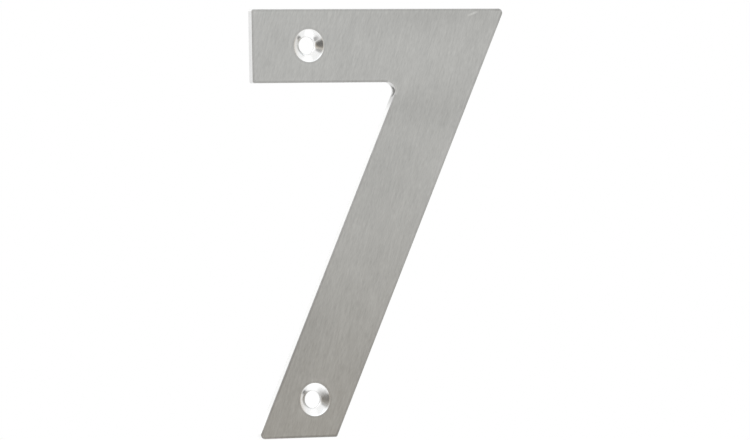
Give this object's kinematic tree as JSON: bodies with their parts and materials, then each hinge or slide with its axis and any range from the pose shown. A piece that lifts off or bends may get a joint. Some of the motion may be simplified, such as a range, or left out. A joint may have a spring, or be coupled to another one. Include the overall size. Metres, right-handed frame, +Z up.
{
  "type": "house number",
  "caption": "Flat brushed stainless steel house number in the shape of the digit seven, with countersunk screw holes for fixing it to a wall or door.",
  "frame": {"origin": "middle of the digit's overall outline, on the back face that lies against the wall", "axes": "+Z up as the digit is read, +X to the reader's right, +Y into the wall"},
  "size_m": [0.065, 0.002, 0.1],
  "materials": {
    "brushed_stainless": "fine straight brushed grain on the front, plain cut edges, turned countersinks"
  },
  "bodies": {
    "root": {"numeral": "brushed_stainless"}
  },
  "joints": []
}
